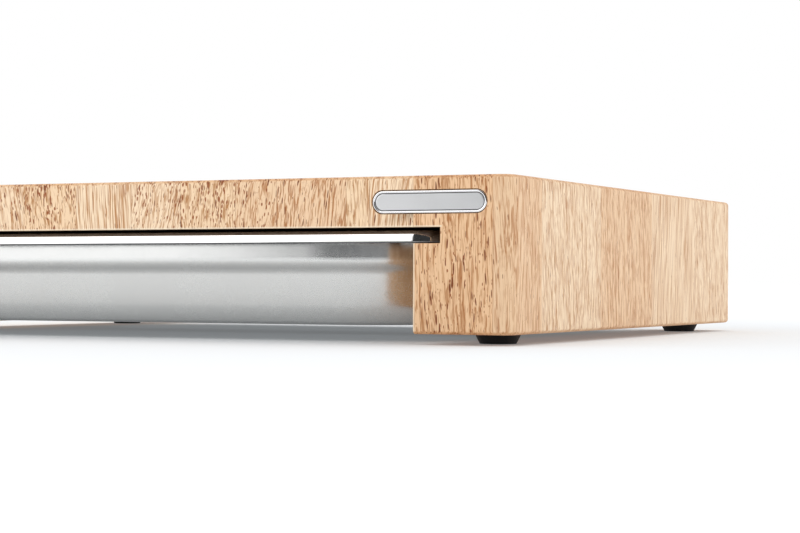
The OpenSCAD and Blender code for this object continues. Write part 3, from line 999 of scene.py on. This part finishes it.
def screw_maker(sizes):
    """Node tree: four screws, each a head with a cross recess, a plain shank and a pointed end."""
    tree, given, places = fixing_tree("screws_in_feet", sizes)
    under, length = given["Head Underside"], given["Length"]
    head = put(tree, "GeometryNodeMeshBoolean", {
        "Mesh 1": domed_head(tree, given), "Mesh 2": cross_bars(tree, given)
    }, operation="DIFFERENCE", solver="EXACT").outputs[0]
    shank_r = math_of(tree, "MULTIPLY", given["Shank Diameter"], 0.5)
    shank = put(tree, "GeometryNodeMeshCylinder", {
        "Vertices": 32, "Radius": shank_r, "Depth": length
    }).outputs["Mesh"]
    tip = put(tree, "GeometryNodeMeshCone", {
        "Vertices": 32, "Radius Top": POINT_R, "Radius Bottom": shank_r, "Depth": 3 * MM
    }).outputs["Mesh"]
    joined = put(tree, "GeometryNodeJoinGeometry")
    for part, height in (
        (head, math_of(tree, "SUBTRACT", under, given["Head Height"])),
        (shank, sum_of(tree, under, (length, 0.5))),
        (tip, math_of(tree, "ADD", under, length)),
    ):
        tree.links.new(raised(tree, part, height), joined.inputs[0])
    end_tree(tree, places, joined.outputs[0], given)
    return tree


zinc = zinc_plating()
for name, node, maker, sizes in (
    ("zinc_foot_washers", "foot_washers", washer_maker, {
        "Outer Diameter": 9.6 * MM, "Hole Diameter": 3.6 * MM, "Thickness": 0.6 * MM, "Underside": 2.2 * MM}),
    ("zinc_foot_screws", "foot_screws", screw_maker, {
        "Head Diameter": 7 * MM, "Head Height": 1.6 * MM, "Shank Diameter": 3.5 * MM, "Length": 11.3 * MM,
        "Head Underside": 2.2 * MM, "Recess Width": 0.8 * MM}),
):
    fixing = new_piece(name, bmesh.new())
    set_tree(fixing, maker(sizes), {"Spacing X": 2 * FOOT_X, "Spacing Y": 2 * FOOT_Y, "Metal": zinc, **sizes})
    made_plain(fixing)
    smooth_shading(fixing, 40)
    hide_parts(node)
    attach(fixing, "board")


# Floor, light and camera ----------------------------------------------
# A plain pale floor that runs out to a white background, a broad soft light from above, one
# from the front left and a weak one from the right, and a long lens low over the floor.


def flat_sheet(half_side):
    """A flat square mesh."""
    bm = bmesh.new()
    bmesh.ops.create_grid(bm, x_segments=1, y_segments=1, size=half_side)
    return bm


def matt_finish(name, colour):
    """A finish with no shine. Gives its tree and shader too."""
    finish, tree, shader = new_finish(name)
    feed(tree, shader, {"Base Color": colour, "Roughness": 0.9, "Specular IOR Level": 0.0})
    return finish, tree, shader


# The floor glows a little: near the board as painted light that lifts the shade under and round it,
# and more with distance, so that it runs into the white
floor_finish, tree, shader = matt_finish("plain_pale_floor", (0.71, 0.72, 0.73, 1))
away = length_of(tree, vector_of(tree, "MULTIPLY", place_on_piece(tree), (1, 1, 0)))
feed(tree, shader, {
    "Emission Color": (0.93, 0.98, 1.02, 1), "Emission Strength": ramp_of(tree, away, 0.20, 0.9, 0.15, 0.33)
})
floor = new_piece("floor", flat_sheet(30), floor_finish)
floor.location.z = -0.05 * MM

WHITE, LIT_STRENGTH, SEEN_STRENGTH = (1, 1, 1, 1), 0.76, 1.0
world = bpy.data.worlds.new("plain_white")
bpy.context.scene.world = world
world.use_nodes = True
tree = world.node_tree
tree.nodes.clear()
ray = put(tree, "ShaderNodeLightPath").outputs
seen = math_of(tree, "MAXIMUM", ray["Is Camera Ray"], ray["Is Transmission Ray"])
lit, plain = (
    put(tree, "ShaderNodeBackground", {"Color": WHITE, "Strength": strength}).outputs[0]
    for strength in (LIT_STRENGTH, SEEN_STRENGTH)
)
around = put(tree, "ShaderNodeMixShader", {0: seen, 1: lit, 2: plain}).outputs[0]
put(tree, "ShaderNodeOutputWorld", {0: around})


def soft_light(name, width, height, power, place, aim=(0, 0, 0.03)):
    """A rectangular soft light that points at aim."""
    light = bpy.data.lights.new(name, "AREA")
    light.shape = "RECTANGLE"
    light.size, light.size_y = width, height
    light.energy = power
    lamp = bpy.data.objects.new(name, light)
    lamp.location = place
    lamp.rotation_euler = (Vector(aim) - Vector(place)).to_track_quat("-Z", "Y").to_euler()
    bpy.context.collection.objects.link(lamp)


sky = bpy.data.lights.new("broad_overhead", "SUN")
sky.energy = 0.90
sky.angle = math.radians(70)
overhead = bpy.data.objects.new("broad_overhead", sky)
overhead.rotation_euler = (math.radians(-28), 0, 0)
bpy.context.collection.objects.link(overhead)
soft_light("front_left", 2.4, 1.5, 11.5, (-1.35, -1.15, 0.75))
soft_light("right_fill", 1.2, 1.0, 3.8, (1.7, 0.3, 0.8))

# Two dark cards behind the camera, seen only in what shines
card_finish = matt_finish("dark_card", (0.03, 0.03, 0.03, 1))[0]
for name, size, turn, place in (
    ("dark_card", (1.5, 0.22, 1), 0, (0.695, -1.75, 0.22)),
    ("side_card", (0.95, 0.62, 1), 18, (0.62, -1.40, 0.86)),
):
    card = new_piece(name, flat_sheet(1), card_finish)
    card.scale = size
    card.rotation_euler = (math.radians(90), 0, math.radians(turn))
    card.location = place
    card.visible_camera = card.visible_diffuse = card.visible_shadow = card.visible_transmission = False

# The viewpoint is fitted to the board's edges in the photograph
lens = bpy.data.cameras.new("camera")
lens.sensor_width = 36
lens.lens = 88.66
lens.clip_start = 0.01
camera = bpy.data.objects.new("camera", lens)
camera.location = (0.5081, -0.9154, 0.0266)
camera.rotation_euler = [math.radians(a) for a in (90.4438, -0.1997, 25.5026)]
bpy.context.collection.objects.link(camera)
bpy.context.scene.camera = camera
bpy.context.scene.view_settings.view_transform = "Standard"
